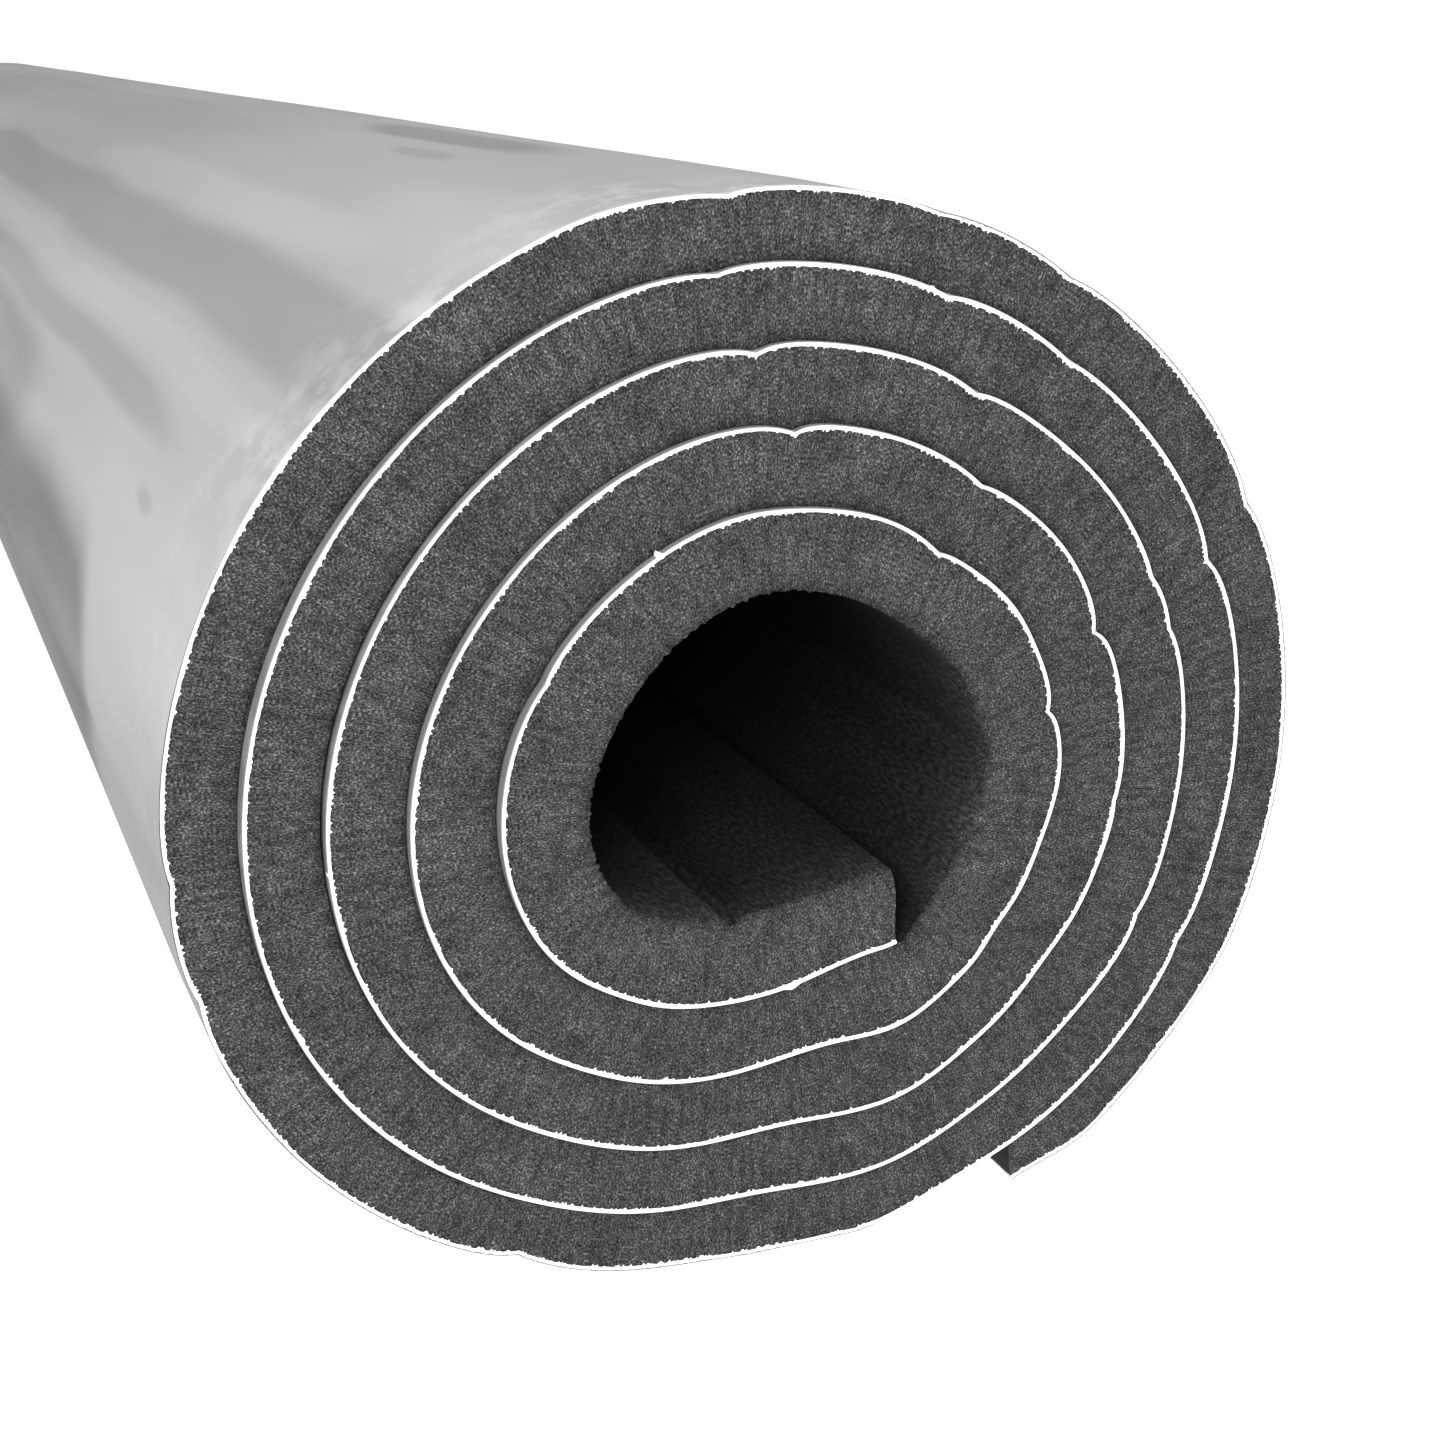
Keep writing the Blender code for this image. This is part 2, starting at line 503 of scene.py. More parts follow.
mark_layers(foam, flat_shares)
map_sheet(foam)
wind(foam)
print("foam box, mm:", in_mm((coordinates(foam).min(0), coordinates(foam).max(0))))

# %% [markdown]
# ## The facing
#
# The facing is far thinner than the foam and lies on its outer side all the way. It starts as a
# grid of the sheet's length and width. Only the last turn shows its face, so only that part is
# subdivided across the width, where it gets the long shallow waves that a handled roll has.
# Solidify gives it its thickness outwards.

# %% The flat facing
FACING_STEPS = 1440
FACING_ROWS = 8
FACING_CUTS = 5
FINE_TURNS = 1.02
SAME_PLACE = 1e-6
WAVE_HEIGHT = 0.55 * MM
WAVE_LENGTH = 46 * MM
WAVE_WIDTH = 190 * MM
WAVE_FADE = 16 * MM
WAVE_SEED = 7.3
FINE_WAVE_SHARE = 0.25
FINE_WAVE_SCALE = 2.7
# The waves start and stop over this share of a turn, and there are none where the roll rests
WAVE_RUN = 0.03
RESTING = -0.9


def flat_facing():
    bpy.ops.mesh.primitive_grid_add(
        x_subdivisions=FACING_STEPS,
        y_subdivisions=FACING_ROWS,
        size=1,
        location=(TURNS / 2, 0, 0),
    )
    piece = bpy.context.object
    piece.name = piece.data.name = "facing_skin"
    piece.scale = (TURNS, SHEET_WIDTH, 1)
    bpy.ops.object.transform_apply(location=True, rotation=True, scale=True)
    bpy.ops.object.mode_set(mode="EDIT")
    bpy.ops.mesh.select_mode(type="EDGE")
    select_all_mesh("DESELECT")
    bpy.ops.object.mode_set(mode="OBJECT")
    for edge in piece.data.edges:
        first, second = (piece.data.vertices[i].co for i in edge.vertices)
        runs_across = abs(first.x - second.x) < SAME_PLACE
        edge.select = runs_across and first.x > TURNS - FINE_TURNS
    bpy.ops.object.mode_set(mode="EDIT")
    bpy.ops.mesh.subdivide(number_cuts=FACING_CUTS)
    bpy.ops.object.mode_set(mode="OBJECT")
    return piece


def waves(length, across):
    """Long shallow waves of the outer face, from 0 upwards, none at the cut ends."""
    spot = Vector((length / WAVE_LENGTH, across / WAVE_WIDTH, WAVE_SEED))
    broad = noise.noise(spot) * 0.5 + 0.5
    fine = noise.noise(spot * FINE_WAVE_SCALE) * 0.5 + 0.5
    from_end = SHEET_WIDTH / 2 - abs(across)
    mixed = (1 - FINE_WAVE_SHARE) * broad + FINE_WAVE_SHARE * fine
    return WAVE_HEIGHT * mixed * float(ease(from_end / WAVE_FADE))


def shape_facing(piece):
    """Puts the flat grid's thickness direction on Y, and lays it on the foam's outer side."""
    co = coordinates(piece)
    turn, across = co[:, 0].copy(), co[:, 1].copy()
    lift = np.zeros(len(co))
    for index in np.flatnonzero(turn > TURNS - 1):
        lift[index] = waves(float(length_at(turn[index])), across[index])
    lift *= ease((turn - TURNS + 1) / WAVE_RUN) * ease((TURNS - turn) / WAVE_RUN)
    low = (turn > TURNS - 1) & (direction(turn)[1] < RESTING)
    lift[low] = 0.0
    set_coordinates(piece, np.stack([turn, outer_side(turn) + lift, across], 1))


facing = flat_facing()
shape_facing(facing)
print("facing points:", len(facing.data.vertices))

# %% [markdown]
# ## Thickness for the facing
#
# Solidify moves each point along its normal. The sheet is still flat here, so its normals point
# along Y, and the thickness comes out even. It is made before the winding, while it is easy to see
# which side is which.

# %% Thickness and winding
def thicken(piece, thickness):
    skin = piece.modifiers.new("thickness", "SOLIDIFY")
    skin.thickness = thickness
    skin.offset = 1 if piece.data.polygons[0].normal.y > 0 else -1
    apply_modifiers(piece)


thicken(facing, FACING_THICKNESS)
map_sheet(facing)
wind(facing)
print("facing box, mm:", in_mm((coordinates(facing).min(0), coordinates(facing).max(0))))

# %% [markdown]
# ## The white cut edge
#
# The facing's white backing shows where the knife went through. It isn't a clean line: small
# fibres hang over the foam on the inner side, because the knife came from outside, and a few
# larger flakes lie over the next turn. A texture would blur them, so the edge is a narrow strip of
# its own, with its inner border moved in by random amounts. The random numbers have a fixed seed,
# so each run gives the same fray.

# %% The frayed strips
STRIP_STEP = 0.25 * MM
STRIP_THICKNESS = 0.47 * MM
# The white line is a fifth wider towards the lower right, and a fifth narrower opposite
STRIP_SPREAD = 0.2
THICKEST_TRAVEL = 340 / 360
STRIP_PROUD = 0.09 * MM
STRIP_ROOT = 1.0 * MM
# The skin is bent over the cut edge on the outer turn, except towards the upper left
STRIP_SKIN_START = 0.05
UPPER_LEFT = (-0.75, 0.66)
SKIN_LIMIT = 0.56
SKIN_FADE = 0.15
FRAY_EVEN = 0.09 * MM
FRAY_SPIKE = 0.48 * MM
FRAY_CHANCE = 0.50
FRAY_DRIFT = 0.2
FRAY_FINENESS = 2.2
FRAY_SEED = 11
# Where the roll rested and was dragged, the fray is wilder
FRAY_WILDNESS = 0.85
FRAY_BELOW = 0.15
# Flakes of backing that lie over the next turn: turns, height in millimetres, half width in turns
FLAKES = ((0.487, 0.8, 0.0022), (0.054, 0.5, 0.0035), (2.31, 0.3, 0.0012), (3.62, 0.35, 0.0009))


def fray(count, seed, wildness):
    """How far each step of the strip hangs over the foam.

    A slow drift makes calm and wild stretches, and short spikes are commoner than long ones.
    """
    draw = random.Random(seed)
    hang = []
    drift = 0.5
    for step in range(count):
        drift = min(max(drift + draw.uniform(-FRAY_DRIFT, FRAY_DRIFT), 0.0), 1.0)
        depth = FRAY_EVEN * (0.4 + drift)
        if draw.random() < FRAY_CHANCE * (0.4 + drift):
            depth += FRAY_SPIKE * wildness[step] * draw.random() ** FRAY_FINENESS
        hang.append(depth)
    return np.array(hang)


def flakes(turn):
    """The few larger flakes, as pointed bumps on the strip's outer side."""
    out = np.zeros(len(turn))
    for place, height, half in FLAKES:
        out += height * MM * np.maximum(0, 1 - np.abs(turn - place) / half)
    return out


def frayed_strip(name, side, seed):
    """A closed strip along one cut end; side is -1 at the far end and 1 at the near end."""
    count = round((length_at(TURNS) - length_at(0)) / STRIP_STEP)
    bpy.ops.mesh.primitive_grid_add(x_subdivisions=count, y_subdivisions=1, size=1)
    piece = bpy.context.object
    piece.name = piece.data.name = name
    co = coordinates(piece)
    step = np.rint((co[:, 0] + 0.5) * count).astype(int)
    length = length_at(0) + (length_at(TURNS) - length_at(0)) * step / count
    turn = np.interp(length, guide_arc, guide_turns)
    even_steps = np.linspace(length_at(0), length_at(TURNS), count + 1)
    along = np.interp(even_steps, guide_arc, guide_turns)
    wildness = FRAY_WILDNESS + FRAY_BELOW * np.clip(-direction(along)[1], 0, 1)
    hang = fray(count + 1, seed, wildness)[step]
    inner = co[:, 1] < 0
    spread = 1 + STRIP_SPREAD * np.cos(math.tau * (turn - THICKEST_TRAVEL))
    depth = outer_side(turn) + np.where(inner, -hang, STRIP_THICKNESS * spread + flakes(turn))
    across = np.full(len(co), side * (SHEET_WIDTH / 2 + STRIP_PROUD))
    set_coordinates(piece, np.stack([turn, depth, across], 1))
    on_last_turn = ease((turn - TURNS + 1) / STRIP_SKIN_START)
    towards_upper_left = np.tensordot(UPPER_LEFT, direction(turn), 1)
    bent_over = ease((SKIN_LIMIT - towards_upper_left) / SKIN_FADE)
    mark_layers(piece, np.where(inner, 0.0, on_last_turn * bent_over))
    bpy.ops.object.mode_set(mode="EDIT")
    select_all_mesh()
    bpy.ops.mesh.extrude_region_move(TRANSFORM_OT_translate={"value": (0, 0, -side * STRIP_ROOT)})
    select_all_mesh()
    bpy.ops.mesh.normals_make_consistent(inside=False)
    bpy.ops.object.mode_set(mode="OBJECT")
    return piece


far_strip = frayed_strip("facing_edge_far", -1, FRAY_SEED)
near_strip = frayed_strip("facing_edge_near", 1, FRAY_SEED + 1)
for strip in (far_strip, near_strip):
    map_sheet(strip)
    wind(strip)
    print(strip.name, "triangles:", 2 * len(strip.data.polygons))

# %% [markdown]
# ## One object for both strips
#
# The two strips are the same thing at the two ends of the sheet, so they become one piece. The
# guide has done its work and goes. Smooth shading by angle keeps the cut edges crisp and rounds
# the long sides.

# %% Join the strips, and let go of the guide
SMOOTH_ANGLE = math.radians(35)
pick(far_strip)
near_strip.select_set(True)
bpy.ops.object.join()
edges = bpy.context.object
edges.name = edges.data.name = "facing_cut_edge"
bpy.data.objects.remove(guide)
for piece in (foam, facing, edges):
    pick(piece)
    bpy.ops.object.shade_smooth_by_angle(angle=SMOOTH_ANGLE)
    print(piece.name, "vertices:", len(piece.data.vertices))

# %% [markdown]
# ## A helper for materials
#
# Every finish starts from a Principled shader. Values that are the same all over are typed on the
# shader itself, and only what changes over the surface comes through a link. The finishes are
# built from four kinds of step: a noise or a place on the sheet, a ramp that turns it into shades,
# a multiplication that lays one over the other, and a bump.

# %% Material helper
def finish_named(name, roughness, metallic=0.0, specular=0.5):
    material = bpy.data.materials.new(name)
    material.use_nodes = True
    tree = material.node_tree
    shader = tree.nodes["Principled BSDF"]
    shader.inputs["Roughness"].default_value = roughness
    shader.inputs["Metallic"].default_value = metallic
    shader.inputs["Specular IOR Level"].default_value = specular
    return material, tree, shader


def node(tree, kind, settings=None, **inputs):
    """A new node with some of its settings and unlinked inputs filled in."""
    made = tree.nodes.new(kind)
    for name, value in (settings or {}).items():
        setattr(made, name, value)
    for name, value in inputs.items():
        made.inputs[name.replace("_", " ")].default_value = value
    return made


def noise_texture(tree, vector, scale, detail=2.0, roughness=0.5):
    made = node(tree, "ShaderNodeTexNoise", Scale=scale, Detail=detail, Roughness=roughness)
    tree.links.new(vector, made.inputs["Vector"])
    return made.outputs["Fac"]


def ramp(tree, value, *stops, smooth=False):
    """A colour ramp through (place, brightness) or (place, colour) stops."""
    made = tree.nodes.new("ShaderNodeValToRGB")
    made.color_ramp.interpolation = "EASE" if smooth else "LINEAR"
    elements = made.color_ramp.elements
    while len(elements) < len(stops):
        elements.new(0.5)
    for element, (place, colour) in zip(elements, stops):
        element.position = place
        element.color = (*colour, 1) if isinstance(colour, tuple) else (colour, colour, colour, 1)
    tree.links.new(value, made.inputs["Fac"])
    return made.outputs["Color"]


def multiply(tree, first, second, share=None):
    """first times second, everywhere or only by a share that comes from the surface."""
    made = node(tree, "ShaderNodeMix", {"data_type": "RGBA", "blend_type": "MULTIPLY"})
    made.inputs["Factor"].default_value = 1.0
    if share is not None:
        tree.links.new(share, made.inputs["Factor"])
    tree.links.new(first, made.inputs[6])
    tree.links.new(second, made.inputs[7])
    return made.outputs[2]


def bump(tree, shader, height, strength, distance):
    made = node(tree, "ShaderNodeBump", Strength=strength, Distance=distance)
    tree.links.new(height, made.inputs["Height"])
    tree.links.new(made.outputs["Normal"], shader.inputs["Normal"])


def sheet_vector(tree, stretch=(1.0, 1.0, 1.0)):
    """The piece's own UV map, in metres along the sheet, stretched if wanted."""
    uv = node(tree, "ShaderNodeUVMap", {"uv_map": "sheet"})
    mapping = node(tree, "ShaderNodeMapping", Scale=stretch)
    tree.links.new(uv.outputs["UV"], mapping.inputs["Vector"])
    return mapping.outputs["Vector"]


def from_middle(tree):
    """How far a point of the sheet lies from the middle of its width, in metres."""
    across = node(tree, "ShaderNodeSeparateXYZ")
    tree.links.new(sheet_vector(tree), across.inputs["Vector"])
    either = node(tree, "ShaderNodeMath", {"operation": "ABSOLUTE"})
    tree.links.new(across.outputs["Y"], either.inputs[0])
    return either.outputs[0]


def along_sheet(tree, whole=1.0):
    """How far along the sheet a point lies, as a share of this length in metres."""
    split = node(tree, "ShaderNodeSeparateXYZ")
    tree.links.new(sheet_vector(tree, (1 / whole, 1.0, 1.0)), split.inputs["Vector"])
    return split.outputs["X"]


print("helpers ready")

# %% [markdown]
# ## The cut foam
#
# A knife opens thousands of tiny closed cells, a fifth of a millimetre across. Each is a dark pit
# with a pale rim, so the cut end is a fine salt-and-pepper grain. The knife also drew faint
# streaks through the thickness, and a few torn cells catch the light as specks. Larger soft
# patches break up the evenness, and painted shade darkens the foam beside the facing.

# %% Finish of the cut foam
GRAIN_SCALE = 3800
STREAK_SCALE = 1400
CLUMP_SCALE = 800
SPECK_SCALE = 1500
PATCH_SCALE = 120
cut_foam, tree, shader = finish_named("cut closed cell foam", 0.95, specular=0.12)
grain = noise_texture(tree, sheet_vector(tree, (1.0, 0.65, 1.0)), GRAIN_SCALE, 2.0, 0.6)
GRAIN_TONES = ((0.30, 0.009), (0.45, 0.027), (0.52, 0.050), (0.60, 0.091), (0.72, 0.19))
colour = ramp(tree, grain, *GRAIN_TONES)
streaks = noise_texture(tree, sheet_vector(tree, (1.0, 0.10, 1.0)), STREAK_SCALE, 2.0, 0.5)
colour = multiply(tree, colour, ramp(tree, streaks, (0.33, 0.76), (0.67, 1.22)))
clumps = noise_texture(tree, sheet_vector(tree, (1.0, 0.6, 1.0)), CLUMP_SCALE, 2.0, 0.5)
colour = multiply(tree, colour, ramp(tree, clumps, (0.34, 0.72), (0.66, 1.32)))
specks = noise_texture(tree, sheet_vector(tree), SPECK_SCALE, 1.0, 0.5)
colour = multiply(tree, colour, ramp(tree, specks, (0.70, 1.0), (0.78, 2.4)))
patches = noise_texture(tree, sheet_vector(tree), PATCH_SCALE, 3.0, 0.55)
colour = multiply(tree, colour, ramp(tree, patches, (0.30, 0.76), (0.70, 1.18)))
# Painted shade beside the facings, where the turns meet: from the inner side of the foam, at 0, to
# its outer side, at 1
PAINTED_SHADE_THROUGH_FOAM = (
    (0.0, 0.52), (0.08, 0.84), (0.2, 1.02), (0.5, 1.08), (0.94, 1.02), (1.0, 0.84),
)
layer = node(tree, "ShaderNodeAttribute", {"attribute_name": "layer"}).outputs["Fac"]
painted_joint_shade = ramp(tree, layer, *PAINTED_SHADE_THROUGH_FOAM)
tree.links.new(multiply(tree, colour, painted_joint_shade), shader.inputs["Base Color"])
bump(tree, shader, grain, 0.12, 0.05 * MM)
print("cut foam uses", len(tree.nodes), "nodes")

# %% [markdown]
# ## The foam's skin
#
# The long sides of the foam were never cut. They have a smoother, darker skin with a fine pebble,
# drawn out along the roll, and a low sheen. It shows on the flat top of the inner end and in the
# bore, which is painted with shade: darker deep inside and paler next to the rim. Along the fold,
# painted shade darkens the flat side and painted light makes the other side pale.

# %% Finish of the foam's skin
PEBBLE_SCALE = 1500
CLOUD_SCALE = 60
CRUMB_SCALE = 1900
CRUMB_REACH = 5 * MM
skin_foam, tree, shader = finish_named("smooth foam skin", 0.66, specular=0.2)
pebble = noise_texture(tree, sheet_vector(tree, (1.0, 0.35, 1.0)), PEBBLE_SCALE, 3.0, 0.6)
cloud = noise_texture(tree, sheet_vector(tree, (1.0, 0.3, 1.0)), CLOUD_SCALE, 3.0, 0.55)
DARK_SKIN = (0.013, 0.013, 0.014)
PALE_SKIN = (0.022, 0.022, 0.0235)
skin_colour = ramp(tree, cloud, (0.30, DARK_SKIN), (0.72, PALE_SKIN))
pebble_colour = ramp(tree, pebble, (0.36, 0.5), (0.50, 1.0), (0.64, 2.0))
# Metres from the middle of the width: painted shade, dark deep inside the bore and paler at its
# rims
painted_bore_shade = ramp(tree, from_middle(tree), (0.48, 0.35), (0.56, 0.5), (0.585, 0.9), (0.6, 1.6))
skin_colour = multiply(tree, multiply(tree, skin_colour, pebble_colour), painted_bore_shade)
crumbs = noise_texture(tree, sheet_vector(tree), CRUMB_SCALE, 2.0, 0.5)
RIM = SHEET_WIDTH / 2
at_rim = ramp(tree, from_middle(tree), (RIM - CRUMB_REACH, 0.0), (RIM, 1.0))
pale_crumbs = ramp(tree, crumbs, (0.52, 1.0), (0.66, 4.0))
skin_colour = multiply(tree, skin_colour, pale_crumbs, share=at_rim)

# Painted light and shade along the fold: a dark line, painted shade that fades slowly on one side,
# and painted light on the other
fold = float(length_at(FOLD_TURN))
painted_fold_light_and_shade = ramp(
    tree,
    along_sheet(tree),
    (fold - 12 * MM, 1.0),
    (fold - 0.6 * MM, 0.45),
    (fold, 0.12),
    (fold + 1 * MM, 1.7),
    (fold + 40 * MM, 1.0),
)
# Painted shadow: just before the first turn is complete, the bore's wall runs in under the sheet's
# inner end, and is painted darker there
RECESS_TURNS = (0.93, 0.965)
recess_start, recess_end = (float(length_at(turn)) for turn in RECESS_TURNS)
painted_tail_shadow = ramp(tree, along_sheet(tree), (recess_start, 1.0), (recess_end, 0.3))
skin_colour = multiply(tree, multiply(tree, skin_colour, painted_fold_light_and_shade), painted_tail_shadow)
# Past the first turn, skin shows on the outer cut alone, which faces down into shadow; a painted
# shadow makes it nearly black. A ramp reads no further than 1 m, but what lies between is hidden.
CUT_SHADOW_FROM = 0.99
PAINTED_CUT_SHADOW_SHADE = 0.12
painted_cut_shadow = ramp(tree, along_sheet(tree), (CUT_SHADOW_FROM, 1.0), (1.0, PAINTED_CUT_SHADOW_SHADE))
skin_colour = multiply(tree, skin_colour, painted_cut_shadow)
tree.links.new(skin_colour, shader.inputs["Base Color"])
bump(tree, shader, pebble, 0.30, 0.08 * MM)

END_NORMAL = 0.6
SAME_DEPTH = 0.01


def dress_foam(piece):
    """Cut foam on the ends and the inner cut, skin on the long sides and on the outer cut, which
    carries a painted shadow.
    """
    piece.data.materials.append(cut_foam)
    piece.data.materials.append(skin_foam)
    layer = piece.data.attributes["layer"].data
    for face in piece.data.polygons:
        depths = [layer[i].value for i in face.vertices]
        is_long_side = max(depths) - min(depths) < SAME_DEPTH
        is_outer_cut = min(flat_lengths[i] for i in face.vertices) > TURNS - SAME_PLACE
        is_skin = is_long_side or is_outer_cut
        face.material_index = 1 if is_skin and abs(face.normal.y) < END_NORMAL else 0


dress_foam(foam)
print("skin faces:", sum(face.material_index for face in foam.data.polygons))

# %% [markdown]
# ## The facing's face
#
# The face is a satin metallised skin, light grey. Shallow hollows run along the roll, and each
# mirrors the room as one soft darker band with a rounded end. A mirror-like finish in a plain
# studio has nothing to mirror, so these reflections are painted into the colour: soft painted
# shades on the sheet, bent a little by noise, and a broad painted shade on the lower left. A few
# are painted paler than the face, as painted highlights. Faint clouding and a fine pebble, where
# the foam's cells print through, lie over them, and the skin is scuffed paler next to the cut ends.
# The turns inside show only a sliver of their face, which is painted darker for the shade of the
# turn over it.

# %% Finish of the facing
# Each band is a painted reflection or painted shade; a shade above 1 makes a painted highlight.
# Degrees of travel on the last turn, metres from the near end where the band starts and stops, half
# its width in degrees, how long its rounded ends are in metres, shade and softness. A start below 0
# or a stop past the sheet's width lets a band run off the end.
PAINTED_REFLECTIONS = (
    (120, 0.104, 1.25, 16.0, 0.030, 0.33, 0.60),
    (110, 0.100, 1.25, 11.0, 0.030, 0.55, 0.80),
    (136, 0.28, 0.95, 12.0, 0.10, 0.60, 0.60),
    (148, 0.11, 0.45, 3.8, 0.07, 0.76, 0.60),
    (154.5, 0.06, 0.60, 3.4, 0.06, 1.10, 0.60),
    (164.5, 0.00, 0.75, 7.0, 0.04, 0.76, 0.45),
    (175, 0.11, 0.30, 5.5, 0.08, 1.14, 0.60),
    (182, 0.02, 0.05, 9.0, 0.06, 1.10, 0.80),
    (190, 0.40, 1.10, 12.0, 0.20, 0.92, 0.50),
    (203, 0.13, 0.17, 5.0, 0.06, 0.66, 0.60),
    (193, 0.11, 0.12, 2.2, 0.02, 0.82, 0.60),
    (141.5, 0.058, 0.059, 1.4, 0.010, 0.80, 0.60),
    (92, 0.00, 1.20, 38.0, 0.10, 0.46, 0.75),
    (230, 0.30, 0.75, 13.0, 0.28, 0.84, 0.90),
    (262, 0.60, 1.25, 10.0, 0.25, 0.88, 0.90),
    (290, -0.10, 0.45, 16.0, 0.30, 0.84, 0.90),
    (322, 0.45, 0.95, 12.0, 0.30, 0.86, 0.90),
    (45, 0.35, 1.25, 14.0, 0.30, 0.84, 0.90),
)
WARP_SCALE = 13
WARP_DEPTH = 12 * MM
CLOUDING_SCALE = 26
SCUFF_SCALE = 150
SCUFF_PLACE_SCALE = 18
SCUFF_LENGTH = 34 * MM
SMUDGE_SCALE = 45
PRINT_THROUGH_SCALE = 500
PAINTED_INNER_TURN_SHADE = 0.6
DARK_FACE = (0.385, 0.387, 0.390)
PALE_FACE = (0.455, 0.457, 0.460)


def warped_sheet(tree):
    """The sheet's UV map, pushed about by a broad noise."""
    sheet = sheet_vector(tree)
    push = node(tree, "ShaderNodeTexNoise", Scale=WARP_SCALE, Detail=1.0)
    tree.links.new(sheet_vector(tree, (1.0, 0.5, 1.0)), push.inputs["Vector"])
    centred = node(tree, "ShaderNodeVectorMath", {"operation": "MULTIPLY_ADD"})
    centred.inputs[1].default_value = (WARP_DEPTH,) * 3
    centred.inputs[2].default_value = (-WARP_DEPTH / 2,) * 3
    tree.links.new(push.outputs["Color"], centred.inputs[0])
    moved = node(tree, "ShaderNodeVectorMath", {"operation": "ADD"})
    tree.links.new(sheet, moved.inputs[0])
    tree.links.new(centred.outputs["Vector"], moved.inputs[1])
    return moved.outputs["Vector"]


def band(tree, vector, travel, start, stop, half_travel, end_length):
    """1 along the middle of a band on the last turn, falling to 0 at its sides and rounded ends."""
    turn = math.floor(TURNS) + travel / 360
    middle = (float(length_at(turn)), SHEET_WIDTH / 2 - (start + stop) / 2, 0)
    straight = (0, (stop - start) / 2, 0)
    size = (half_travel / 360 * length_per_turn(turn), end_length, 1)
    steps = (
        ("SUBTRACT", middle),
        ("ABSOLUTE", None),
        ("SUBTRACT", straight),
        ("MAXIMUM", (0, 0, 0)),
        ("DIVIDE", size),
    )
    for operation, value in steps:
        step = node(tree, "ShaderNodeVectorMath", {"operation": operation})
        tree.links.new(vector, step.inputs[0])
        if value is not None:
            step.inputs[1].default_value = value
        vector = step.outputs["Vector"]
    gradient = node(tree, "ShaderNodeTexGradient", {"gradient_type": "SPHERICAL"})
    tree.links.new(vector, gradient.inputs["Vector"])
    return gradient.outputs["Fac"]


satin, tree, shader = finish_named(
    "satin metallised facing", 0.45, metallic=0.16, specular=0.18
)
clouding = noise_texture(tree, sheet_vector(tree, (1.0, 0.12, 1.0)), CLOUDING_SCALE, 3.0, 0.5)
colour = ramp(tree, clouding, (0.32, DARK_FACE), (0.68, PALE_FACE))
warped = warped_sheet(tree)
for *place, shade, softness in PAINTED_REFLECTIONS:
    fade = band(tree, warped, *place)
    colour = multiply(tree, colour, ramp(tree, fade, (0.0, 1.0), (softness, shade), smooth=True))

# Pale scuffs, in patches, fading out away from the cut ends
scuffs = noise_texture(tree, sheet_vector(tree, (1.0, 0.6, 1.0)), SCUFF_SCALE, 4.0, 0.6)
scuff_colour = ramp(tree, scuffs, (0.46, 1.0), (0.58, 1.40))
near_cut = ramp(tree, from_middle(tree), (RIM - SCUFF_LENGTH, 0.0), (RIM, 1.0))
scuff_places = noise_texture(tree, sheet_vector(tree), SCUFF_PLACE_SCALE, 1.0, 0.5)
scuffed = multiply(tree, near_cut, ramp(tree, scuff_places, (0.42, 0.15), (0.58, 1.0)))
colour = multiply(tree, colour, scuff_colour, share=scuffed)

# Painted shade: the turns inside are painted darker than the last one, for the shade of the turn
# over them
whole = float(length_at(TURNS))
last_start = float(length_at(TURNS - 1)) / whole
painted_inner_turn_shade = ramp(tree, along_sheet(tree, whole), (last_start - 0.01, PAINTED_INNER_TURN_SHADE), (last_start, 1.0))
tree.links.new(multiply(tree, colour, painted_inner_turn_shade), shader.inputs["Base Color"])

smudges = noise_texture(tree, sheet_vector(tree, (1.0, 0.12, 1.0)), SMUDGE_SCALE, 2.0, 0.5)
tree.links.new(ramp(tree, smudges, (0.3, 0.36), (0.7, 0.50)), shader.inputs["Roughness"])
cells = noise_texture(tree, sheet_vector(tree, (1.0, 0.2, 1.0)), PRINT_THROUGH_SCALE, 2.0, 0.5)
bump(tree, shader, cells, 0.03, 0.05 * MM)
facing.data.materials.append(satin)
print("facing has", len(facing.data.polygons), "faces and", len(PAINTED_REFLECTIONS), "bands")

# %% [markdown]
# ## The white backing
#
# The cut edge is the brightest thing on the object: a matt white film, a little grey in the roots
# of the fray. On the outer turn the knife bent the silver skin over the edge, and it shows beyond
# the white as a thin grey outline.

# %% Finish of the cut edge
FIBRE_SCALE = 2600
# The strip's attribute rises to 1 where the skin is bent over, and the outline is its outer fifth
OUTLINE_FROM, OUTLINE_FULL = 0.76, 0.82
OUTLINE_SHADE = 0.13
backing, tree, shader = finish_named("white backing, cut", 0.75, specular=0.3)
fibres = noise_texture(tree, sheet_vector(tree), FIBRE_SCALE, 2.0, 0.5)
white = ramp(tree, fibres, (0.25, 0.80), (0.45, 0.95))
layer = node(tree, "ShaderNodeAttribute", {"attribute_name": "layer"}).outputs["Fac"]
outline = ramp(tree, layer, (OUTLINE_FROM, 1.0), (OUTLINE_FULL, OUTLINE_SHADE))
tree.links.new(multiply(tree, white, outline), shader.inputs["Base Color"])
bump(tree, shader, fibres, 0.2, 0.05 * MM)
edges.data.materials.append(backing)
print("materials:", [material.name for material in (cut_foam, skin_foam, satin, backing)])

# %% [markdown]
# ## Fasten the pieces to the frame
#
# Each piece rides on the frame's one body and stands for the plain solid that it replaces, which
# is hidden.

# %% Fasten
for piece, slot in ((foam, "foam"), (facing, "facing"), (edges, "facing")):
    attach(piece, "root")
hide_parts("foam_sheet")
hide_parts("facing_film")
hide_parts("facing_film")

# %% [markdown]
# ## Floor and light
#
# The floor is plain and pale, and the light is soft and even, so that the dark foam keeps its
# grain and the facing its bands. The sky is white at the horizon and greyer higher up, which gives
# the satin facing something soft to mirror.

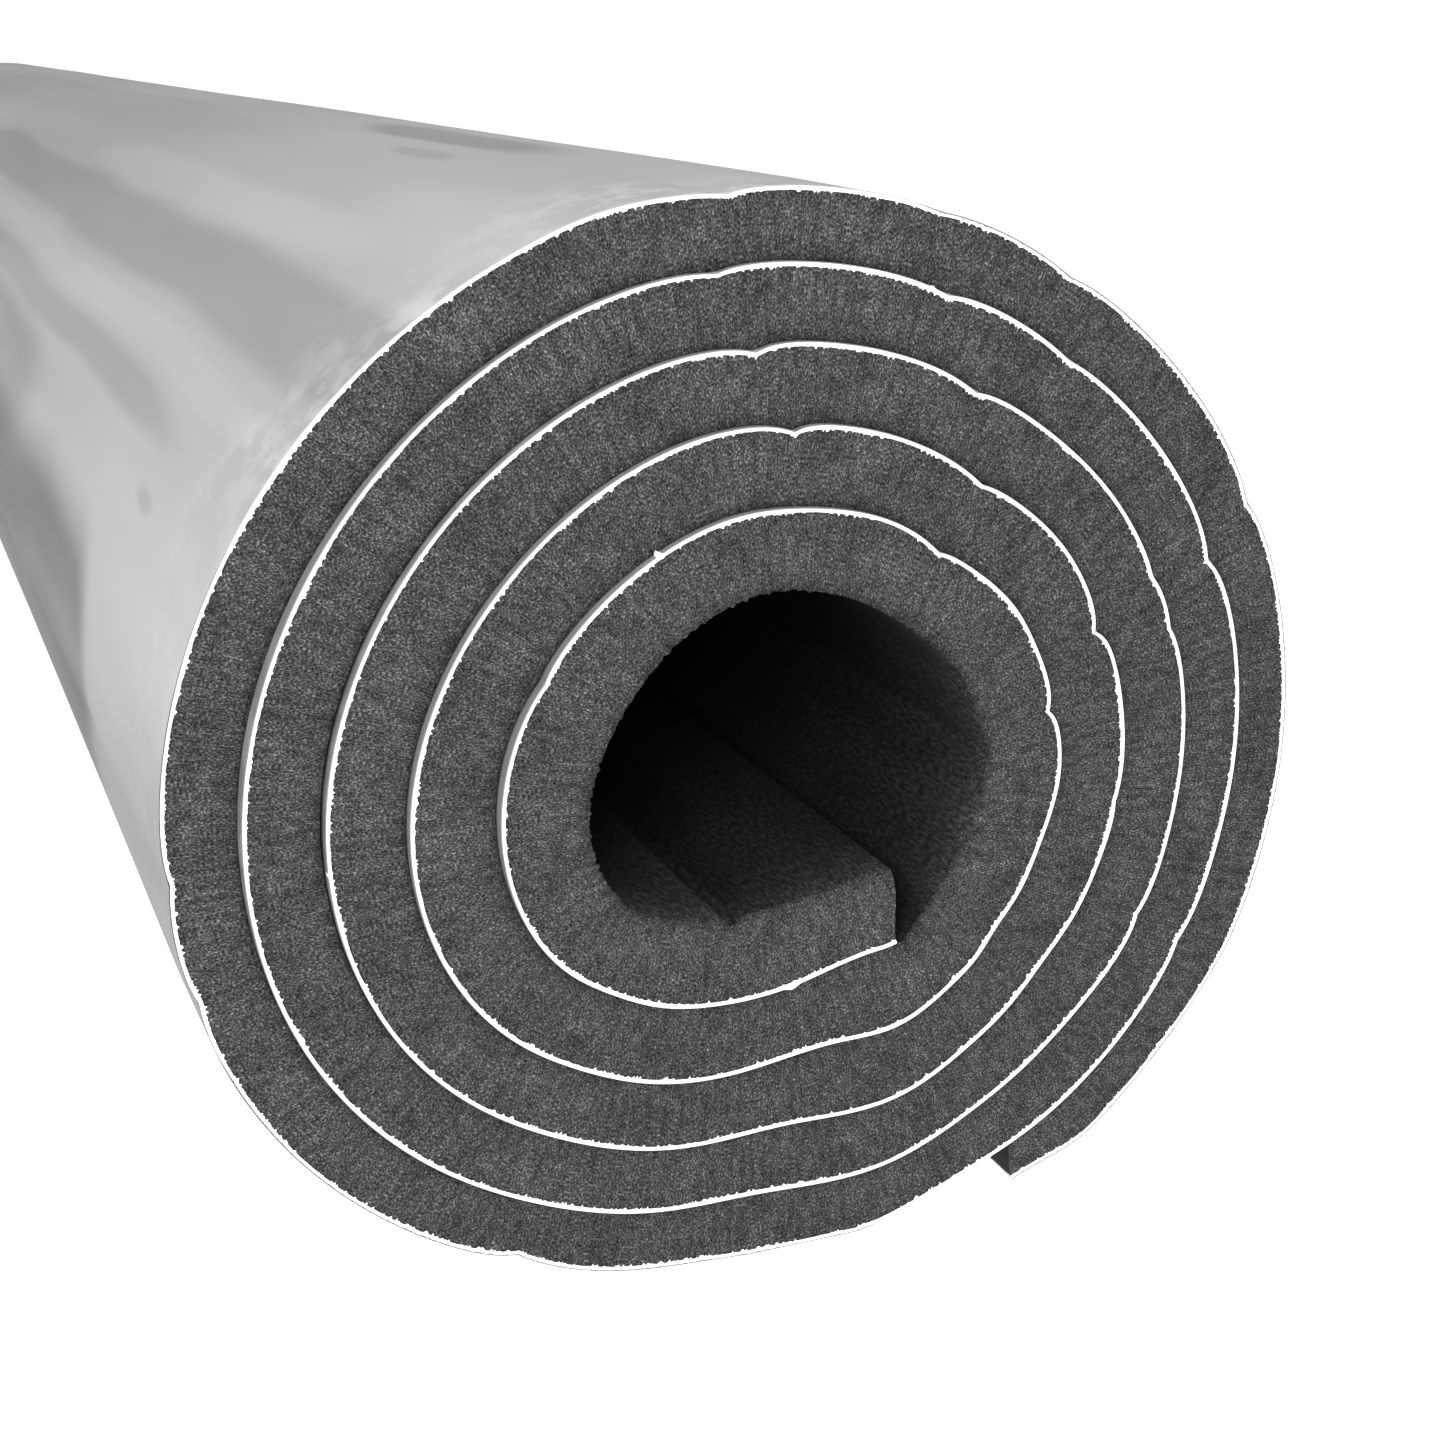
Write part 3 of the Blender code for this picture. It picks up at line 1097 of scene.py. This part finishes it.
# %% Floor
FLOOR_SIZE = 60.0
bpy.ops.mesh.primitive_plane_add(size=FLOOR_SIZE, location=(0, 0, 0))
floor = bpy.context.object
floor.name = "studio_floor"
paper, tree, shader = finish_named("pale studio paper", 0.9, specular=0.1)
shader.inputs["Base Color"].default_value = (0.3, 0.3, 0.3, 1)
shader.inputs["Emission Color"].default_value = (1, 1, 1, 1)
shader.inputs["Emission Strength"].default_value = 0.93
floor.data.materials.append(paper)
print("floor is", FLOOR_SIZE, "m wide")

# %% Sky and lamps
world = bpy.data.worlds.new("studio")
bpy.context.scene.world = world
world.use_nodes = True
tree = world.node_tree
sky = tree.nodes["Background"]
place = tree.nodes.new("ShaderNodeTexCoord")
split = tree.nodes.new("ShaderNodeSeparateXYZ")
tree.links.new(place.outputs["Generated"], split.inputs["Vector"])
# White up to a little above the horizon, grey above it, and a little paler overhead
SKY_TONES = ((0.0, 1.0), (0.04, 1.0), (0.16, 0.38), (0.6, 0.50))
SKY_STRENGTH = 1.05
tree.links.new(ramp(tree, split.outputs["Z"], *SKY_TONES), sky.inputs["Color"])
sky.inputs["Strength"].default_value = SKY_STRENGTH


def lamp(name, location, target, size, power):
    bpy.ops.object.light_add(type="AREA", location=location)
    made = bpy.context.object
    made.name = name
    made.data.size = size
    made.data.energy = power
    made.rotation_euler = (Vector(target) - Vector(location)).to_track_quat("-Z", "Y").to_euler()
    return made


ROLL_MIDDLE = (0, 0, 0.08)
ROLL_END = (0, -0.6, 0.08)
lamp("overhead_softbox", (-0.5, -0.3, 2.2), ROLL_MIDDLE, 2.0, 15)
lamp("front_softbox", (-0.30, -1.15, 0.38), ROLL_END, 0.3, 4.9)

# %% [markdown]
# ## The camera
#
# The photograph was taken close to the near end, from its left and a little above. The lens and
# the place come from the ellipse of the roll's end and from how fast its sides run together.

# %% Camera
LENS = 55.0
SENSOR = 36.0
NEAR_END = Vector((-MIDDLE_X, -SHEET_WIDTH / 2 + 2.5 * MM, -FLOOR_Z))
FROM_NEAR_END = Vector((-0.1179, -0.2762, 0.1035))
LOOK = Vector((0.3572, 0.8847, -0.2997))

bpy.ops.object.camera_add(location=NEAR_END + FROM_NEAR_END)
camera = bpy.context.object
camera.name = "photo_camera"
camera.rotation_euler = LOOK.to_track_quat("-Z", "Y").to_euler()
camera.data.sensor_width = SENSOR
camera.data.lens = LENS
camera.data.clip_start = 0.01
camera.data.clip_end = 200
camera.data.dof.use_dof = False
bpy.context.scene.camera = camera
bpy.context.scene.view_settings.view_transform = "Standard"
bpy.context.scene.view_settings.look = "None"
print("camera at", [round(v, 3) for v in camera.location])
